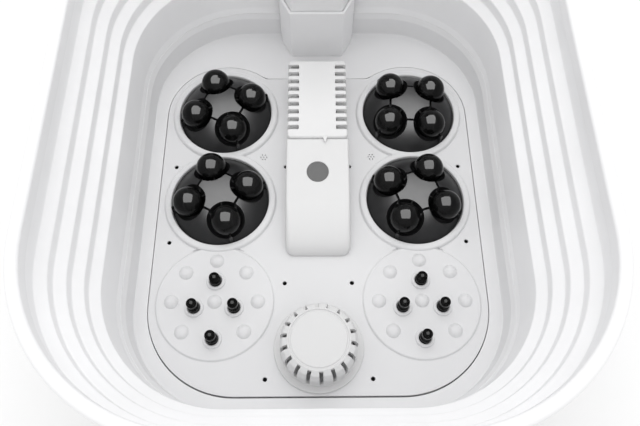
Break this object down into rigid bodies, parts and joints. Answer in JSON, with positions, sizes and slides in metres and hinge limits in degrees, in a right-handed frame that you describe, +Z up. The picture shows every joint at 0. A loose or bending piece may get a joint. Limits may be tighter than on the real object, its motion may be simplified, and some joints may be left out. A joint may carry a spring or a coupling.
{
  "type": "collapsible foot spa",
  "caption": "Collapsible foot spa: rigid base with roller discs, pin pads and herb cap, soft folding wall, stiff rim and a control head on a telescoping column.",
  "frame": {"origin": "on the floor under the middle of the basin", "axes": "+Z up, +Y towards the rear where the control head stands, +X to the right of a seated user"},
  "size_m": [0.371, 0.4366, 0.2418],
  "materials": {
    "white_shell": "satin white injection moulded plastic",
    "white_detail": "smooth white plastic covers",
    "grey_wall": "soft matt light grey elastomer",
    "grey_shell": "satin light grey plastic",
    "gloss_black": "glossy dark grey plastic",
    "ball_black": "polished black plastic",
    "rubber_black": "black rubber",
    "lens_grey": "smoked grey lens",
    "gear_white": "natural acetal",
    "motor_steel": "zinc plated steel",
    "board_green": "circuit board",
    "heater_aluminium": "finned aluminium",
    "panel_black": "glossy black panel"
  },
  "bodies": {
    "basin": {"base_pan": "white_shell", "foot_front_left": "rubber_black", "foot_front_right": "rubber_black", "foot_rear_right": "rubber_black", "foot_rear_left": "rubber_black", "cord_gland": "rubber_black", "power_board": "board_green", "air_pump": "motor_steel", "lower_tub": "white_shell", "motor_left": "motor_steel", "motor_right": "motor_steel", "foot_plate": "white_shell", "pin_insert_left": "rubber_black", "pin_insert_right": "rubber_black", "herb_cup": "grey_shell", "front_cover": "white_detail", "lamp_lens": "lens_grey", "grille_cover": "white_detail", "heater": "heater_aluminium", "pillar_lower": "grey_shell", "folding_wall": "grey_wall"},
    "rim": {"rim": "grey_shell", "control_head": "grey_shell", "display_panel": "panel_black", "control_board": "board_green"},
    "disc_rear_left": {"gear_rear_left": "gear_white", "dome_rear_left": "gloss_black", "star_rear_left": "gloss_black"},
    "ball_rear_left_1": {"ball_rear_left_1": "ball_black"},
    "ball_rear_left_2": {"ball_rear_left_2": "ball_black"},
    "ball_rear_left_3": {"ball_rear_left_3": "ball_black"},
    "ball_rear_left_4": {"ball_rear_left_4": "ball_black"},
    "disc_front_left": {"gear_front_left": "gear_white", "dome_front_left": "gloss_black", "star_front_left": "gloss_black"},
    "ball_front_left_1": {"ball_front_left_1": "ball_black"},
    "ball_front_left_2": {"ball_front_left_2": "ball_black"},
    "ball_front_left_3": {"ball_front_left_3": "ball_black"},
    "ball_front_left_4": {"ball_front_left_4": "ball_black"},
    "disc_rear_right": {"gear_rear_right": "gear_white", "dome_rear_right": "gloss_black", "star_rear_right": "gloss_black"},
    "ball_rear_right_1": {"ball_rear_right_1": "ball_black"},
    "ball_rear_right_2": {"ball_rear_right_2": "ball_black"},
    "ball_rear_right_3": {"ball_rear_right_3": "ball_black"},
    "ball_rear_right_4": {"ball_rear_right_4": "ball_black"},
    "disc_front_right": {"gear_front_right": "gear_white", "dome_front_right": "gloss_black", "star_front_right": "gloss_black"},
    "ball_front_right_1": {"ball_front_right_1": "ball_black"},
    "ball_front_right_2": {"ball_front_right_2": "ball_black"},
    "ball_front_right_3": {"ball_front_right_3": "ball_black"},
    "ball_front_right_4": {"ball_front_right_4": "ball_black"},
    "pinion_left": {"pinion_left": "gear_white"},
    "pinion_right": {"pinion_right": "gear_white"},
    "herb_cap": {"herb_cap": "white_detail"},
    "button_massage": {"button_massage": "grey_shell"},
    "button_power": {"button_power": "grey_shell"},
    "button_bubbles": {"button_bubbles": "grey_shell"}
  },
  "joints": [
    {"name": "wall_fold", "type": "slide", "parent": "basin", "child": "rim", "axis": [0, 0, 1], "range_m": [-0.085, 0], "deforming": ["folding_wall"]},
    {"name": "disc_rear_left_spin", "type": "hinge", "parent": "basin", "child": "disc_rear_left", "pos_m": [-0.0842, 0.0865, 0.072], "axis": [0, 0, 1], "continuous": true},
    {"name": "ball_rear_left_1_roll", "type": "hinge", "parent": "disc_rear_left", "child": "ball_rear_left_1", "pos_m": [-0.05977, 0.09539, 0.087], "axis": [0.9192, 0.3345, -0.2079], "continuous": true},
    {"name": "ball_rear_left_2_roll", "type": "hinge", "parent": "disc_rear_left", "child": "ball_rear_left_2", "pos_m": [-0.09309, 0.11093, 0.087], "axis": [-0.3345, 0.9192, -0.2079], "continuous": true},
    {"name": "ball_rear_left_3_roll", "type": "hinge", "parent": "disc_rear_left", "child": "ball_rear_left_3", "pos_m": [-0.10863, 0.07761, 0.087], "axis": [-0.9192, -0.3345, -0.2079], "continuous": true},
    {"name": "ball_rear_left_4_roll", "type": "hinge", "parent": "disc_rear_left", "child": "ball_rear_left_4", "pos_m": [-0.07531, 0.06207, 0.087], "axis": [0.3345, -0.9192, -0.2079], "continuous": true},
    {"name": "disc_front_left_spin", "type": "hinge", "parent": "basin", "child": "disc_front_left", "pos_m": [-0.0842, -0.00225, 0.072], "axis": [0, 0, 1], "continuous": true},
    {"name": "ball_front_left_1_roll", "type": "hinge", "parent": "disc_front_left", "child": "ball_front_left_1", "pos_m": [-0.05934, 0.00535, 0.087], "axis": [0.9354, 0.286, -0.2079], "continuous": true},
    {"name": "ball_front_left_2_roll", "type": "hinge", "parent": "disc_front_left", "child": "ball_front_left_2", "pos_m": [-0.0918, 0.02261, 0.087], "axis": [-0.286, 0.9354, -0.2079], "continuous": true},
    {"name": "ball_front_left_3_roll", "type": "hinge", "parent": "disc_front_left", "child": "ball_front_left_3", "pos_m": [-0.10906, -0.00985, 0.087], "axis": [-0.9354, -0.286, -0.2079], "continuous": true},
    {"name": "ball_front_left_4_roll", "type": "hinge", "parent": "disc_front_left", "child": "ball_front_left_4", "pos_m": [-0.0766, -0.02711, 0.087], "axis": [0.286, -0.9354, -0.2079], "continuous": true},
    {"name": "disc_rear_right_spin", "type": "hinge", "parent": "basin", "child": "disc_rear_right", "pos_m": [0.0842, 0.0865, 0.072], "axis": [0, 0, 1], "continuous": true},
    {"name": "ball_rear_right_1_roll", "type": "hinge", "parent": "disc_rear_right", "child": "ball_rear_right_1", "pos_m": [0.10382, 0.10356, 0.087], "axis": [0.7382, 0.6417, -0.2079], "continuous": true},
    {"name": "ball_rear_right_2_roll", "type": "hinge", "parent": "disc_rear_right", "child": "ball_rear_right_2", "pos_m": [0.06714, 0.10612, 0.087], "axis": [-0.6417, 0.7382, -0.2079], "continuous": true},
    {"name": "ball_rear_right_3_roll", "type": "hinge", "parent": "disc_rear_right", "child": "ball_rear_right_3", "pos_m": [0.06458, 0.06944, 0.087], "axis": [-0.7382, -0.6417, -0.2079], "continuous": true},
    {"name": "ball_rear_right_4_roll", "type": "hinge", "parent": "disc_rear_right", "child": "ball_rear_right_4", "pos_m": [0.10126, 0.06688, 0.087], "axis": [0.6417, -0.7382, -0.2079], "continuous": true},
    {"name": "disc_front_right_spin", "type": "hinge", "parent": "basin", "child": "disc_front_right", "pos_m": [0.0842, -0.00225, 0.072], "axis": [0, 0, 1], "continuous": true},
    {"name": "ball_front_right_1_roll", "type": "hinge", "parent": "disc_front_right", "child": "ball_front_right_1", "pos_m": [0.0958, 0.02102, 0.087], "axis": [0.4364, 0.8754, -0.2079], "continuous": true},
    {"name": "ball_front_right_2_roll", "type": "hinge", "parent": "disc_front_right", "child": "ball_front_right_2", "pos_m": [0.06093, 0.00935, 0.087], "axis": [-0.8754, 0.4364, -0.2079], "continuous": true},
    {"name": "ball_front_right_3_roll", "type": "hinge", "parent": "disc_front_right", "child": "ball_front_right_3", "pos_m": [0.0726, -0.02552, 0.087], "axis": [-0.4364, -0.8754, -0.2079], "continuous": true},
    {"name": "ball_front_right_4_roll", "type": "hinge", "parent": "disc_front_right", "child": "ball_front_right_4", "pos_m": [0.10747, -0.01385, 0.087], "axis": [0.8754, -0.4364, -0.2079], "continuous": true},
    {"name": "pinion_left_spin", "type": "hinge", "parent": "basin", "child": "pinion_left", "pos_m": [-0.0842, 0.04213, 0.052], "axis": [0, 0, 1], "continuous": true},
    {"name": "pinion_right_spin", "type": "hinge", "parent": "basin", "child": "pinion_right", "pos_m": [0.0842, 0.04213, 0.052], "axis": [0, 0, 1], "continuous": true},
    {"name": "herb_cap_lift", "type": "slide", "parent": "basin", "child": "herb_cap", "axis": [0, 0, 1], "range_m": [0, 0.06]},
    {"name": "button_massage_press", "type": "slide", "parent": "rim", "child": "button_massage", "axis": [0, 0.1392, -0.9903], "range_m": [0, 0.001], "stiffness_N_per_m": 400},
    {"name": "button_power_press", "type": "slide", "parent": "rim", "child": "button_power", "axis": [0, 0.1392, -0.9903], "range_m": [0, 0.001], "stiffness_N_per_m": 400},
    {"name": "button_bubbles_press", "type": "slide", "parent": "rim", "child": "button_bubbles", "axis": [0, 0.1392, -0.9903], "range_m": [0, 0.001], "stiffness_N_per_m": 400}
  ],
  "couplings": [
    {"joint": "disc_front_left_spin", "follows": "disc_rear_left_spin", "ratio": 1},
    {"joint": "pinion_left_spin", "follows": "disc_rear_left_spin", "ratio": -2.6},
    {"joint": "disc_front_right_spin", "follows": "disc_rear_right_spin", "ratio": 1},
    {"joint": "pinion_right_spin", "follows": "disc_rear_right_spin", "ratio": -2.6}
  ]
}
